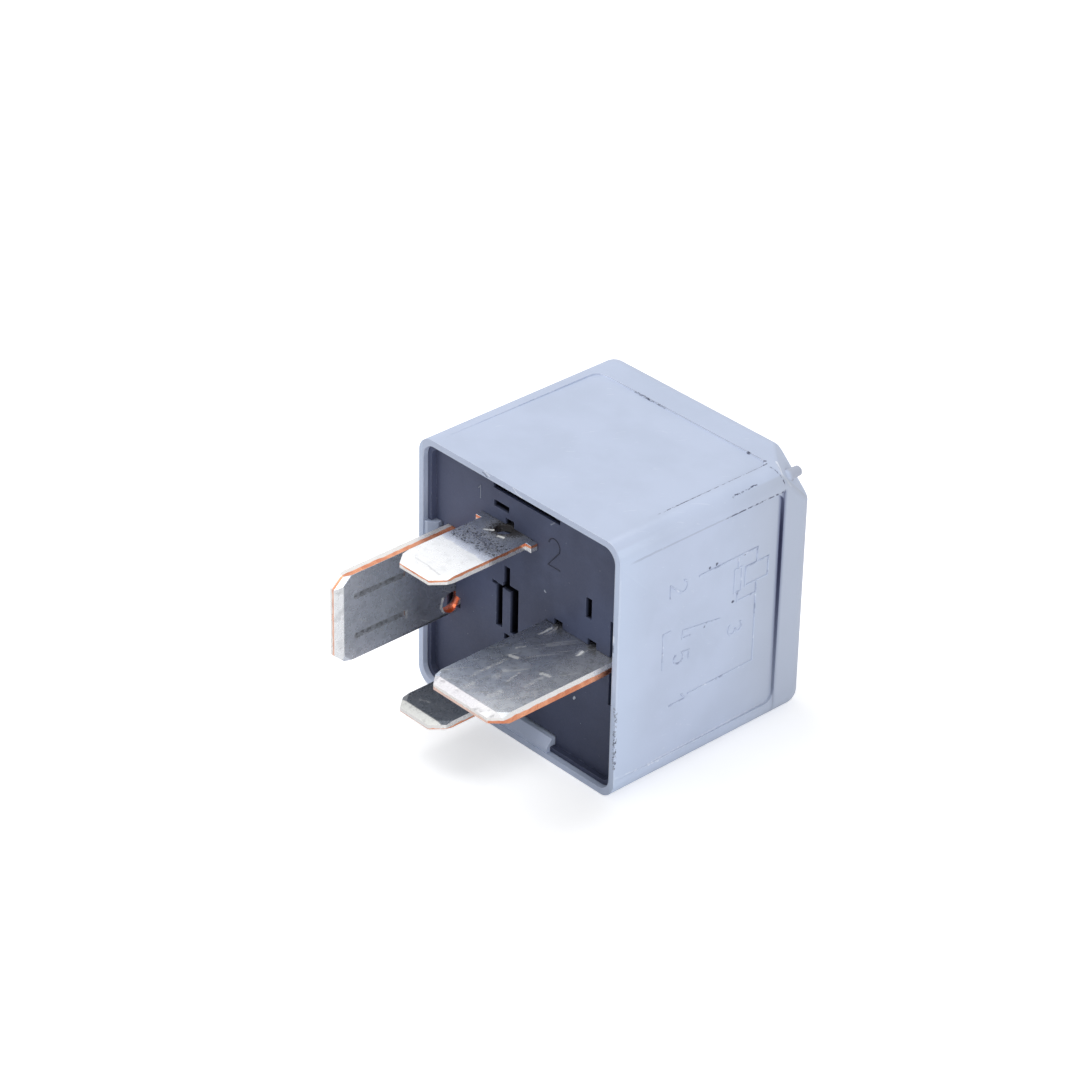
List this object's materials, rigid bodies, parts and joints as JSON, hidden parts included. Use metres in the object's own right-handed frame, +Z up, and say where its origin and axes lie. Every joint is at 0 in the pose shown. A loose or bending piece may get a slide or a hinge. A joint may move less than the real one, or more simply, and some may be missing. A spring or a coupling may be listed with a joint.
{
  "type": "automotive relay",
  "caption": "Cube-shaped plug-in mini relay: grey moulded cover, dark base with flat blade terminals, and a coil, hinged armature and contacts inside that close when it is energised.",
  "frame": {"origin": "bottom centre of the whole part as it lies on its side, halfway between the tip of the longest blade and the closed end of the cover", "axes": "+Y from the blades' tips towards the closed end of the cover, +Z up, +X towards the side with the raised circuit lines"},
  "size_m": [0.028, 0.0396, 0.028],
  "materials": {
    "cover_plastic": "pale grey moulded nylon with a satin face",
    "base_plastic": "dark grey glass-filled nylon, matt",
    "tinned_copper": "tin-plated copper with bare copper on the cut edges",
    "frame_steel": "zinc-plated soft iron",
    "bobbin_plastic": "black moulded nylon",
    "enamelled_wire": "enamelled copper wire",
    "spring_bronze": "rolled bronze strip",
    "contact_silver": "silver alloy contact",
    "rivet_steel": "plated steel rivet",
    "resistor_ceramic": "lacquered resistor body",
    "tinned_wire": "tinned copper wire"
  },
  "bodies": {
    "root": {"cover": "cover_plastic", "base": "base_plastic", "terminal_87": "tinned_copper", "terminal_30": "tinned_copper", "terminal_85": "tinned_copper", "terminal_86": "tinned_copper", "yoke": "frame_steel", "core": "frame_steel", "bobbin": "bobbin_plastic", "coil_winding": "enamelled_wire", "fixed_contact": "contact_silver", "yoke_rivets": "rivet_steel", "terminal_rivet": "rivet_steel", "resistor": "resistor_ceramic", "resistor_lead_85": "tinned_wire", "resistor_lead_86": "tinned_wire"},
    "armature": {"armature": "frame_steel", "contact_spring": "spring_bronze", "moving_contact": "contact_silver", "armature_rivets": "rivet_steel"}
  },
  "joints": [
    {"name": "armature_hinge", "type": "hinge", "parent": "root", "child": "armature", "pos_m": [0.0103, 0.01425, 0.014], "axis": [0, 0, 1], "range_deg": [0, 3], "stiffness_Nm_per_rad": 0.03, "springref_deg": -11.46, "deforming": ["contact_spring"]}
  ]
}
